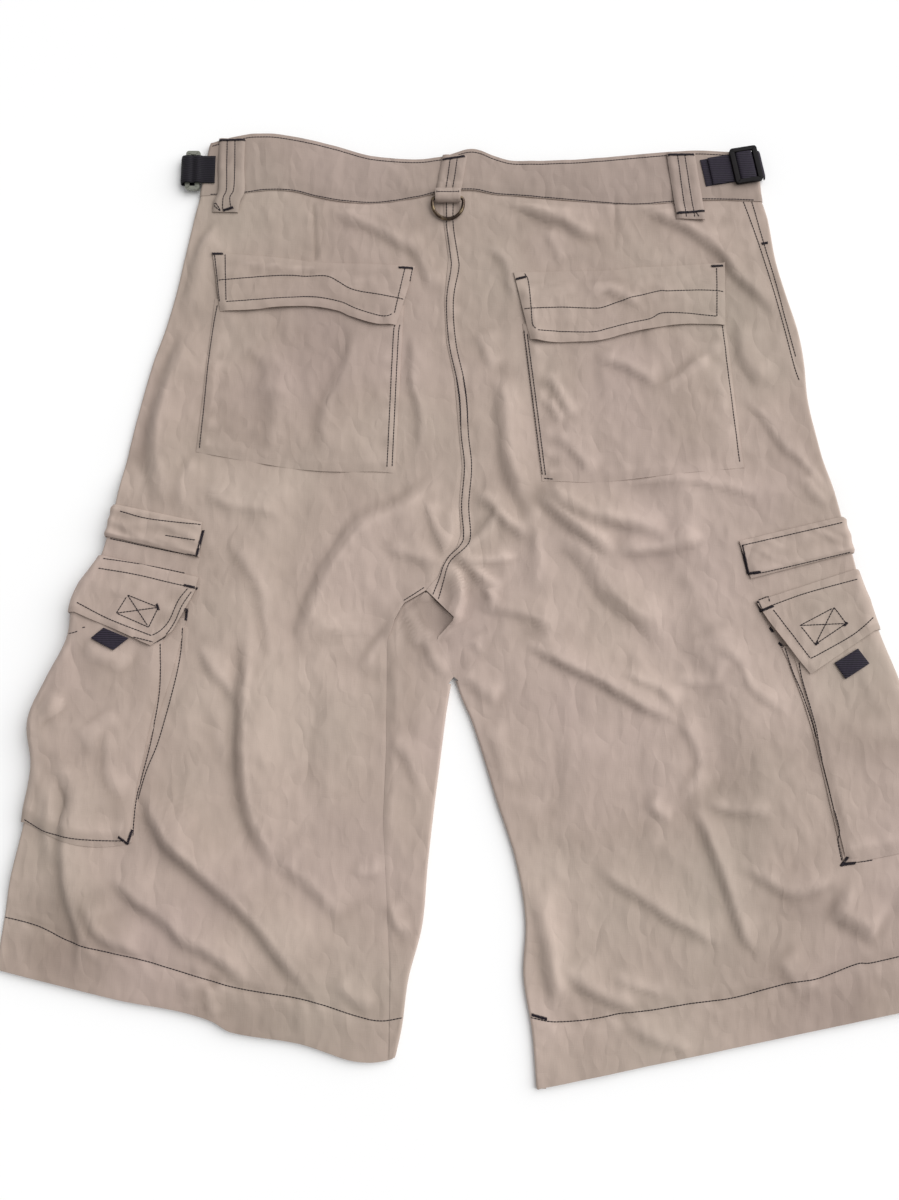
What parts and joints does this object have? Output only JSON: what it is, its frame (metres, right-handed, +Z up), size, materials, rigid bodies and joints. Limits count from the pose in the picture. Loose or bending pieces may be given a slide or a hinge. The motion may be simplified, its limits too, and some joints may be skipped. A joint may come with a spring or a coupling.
{
  "type": "cargo shorts",
  "caption": "Cargo shorts laid flat with the back up: patch pockets with flaps, bellows side pockets, webbing waist adjusters and a D-ring at the back.",
  "frame": {"origin": "middle of the underside of the whole outline, on the surface that the shorts lie on", "axes": "+Z up out of the back of the shorts, +Y towards the waist, +X to the right as seen from above with the waist away"},
  "size_m": [0.7001, 0.76, 0.0156],
  "materials": {
    "khaki_cloth": "crisp plain-woven cotton and nylon, soft sheen, dark navy topstitching",
    "navy_webbing": "dense narrow webbing",
    "black_plastic": "satin moulded plastic",
    "smoke_plastic": "smoky grey moulded plastic",
    "dark_bronze": "antiqued dark bronze, worn bright on the bow",
    "khaki_plastic": "semi-matt button"
  },
  "bodies": {
    "shorts": {"back_left": "khaki_cloth", "back_right": "khaki_cloth", "front_left": "khaki_cloth", "front_right": "khaki_cloth", "back_pocket_left": "khaki_cloth", "back_pocket_right": "khaki_cloth", "back_flap_left": "khaki_cloth", "back_flap_right": "khaki_cloth", "side_band_left": "khaki_cloth", "side_band_right": "khaki_cloth", "cargo_pocket_left": "khaki_cloth", "cargo_pocket_right": "khaki_cloth", "cargo_flap_left": "khaki_cloth", "cargo_flap_right": "khaki_cloth", "cargo_gusset_left": "khaki_cloth", "cargo_gusset_right": "khaki_cloth", "waistband_back": "khaki_cloth", "waistband_front_left": "khaki_cloth", "waistband_front_right": "khaki_cloth", "belt_loop_left": "khaki_cloth", "belt_loop_centre": "khaki_cloth", "belt_loop_right": "khaki_cloth", "ring_tab": "khaki_cloth", "fly": "khaki_cloth", "pull_tab_left": "navy_webbing", "pull_tab_right": "navy_webbing", "adjuster_strap_left": "navy_webbing", "adjuster_strap_right": "navy_webbing", "adjuster_buckle_left": "smoke_plastic", "adjuster_buckle_right": "black_plastic", "waist_button": "khaki_plastic"},
    "ring": {"d_ring": "dark_bronze"}
  },
  "joints": [
    {"name": "ring_swing", "type": "hinge", "parent": "shorts", "child": "ring", "pos_m": [-0.015, 0.318, 0.01161], "axis": [-1, 0, 0], "range_deg": [0, 165]}
  ]
}
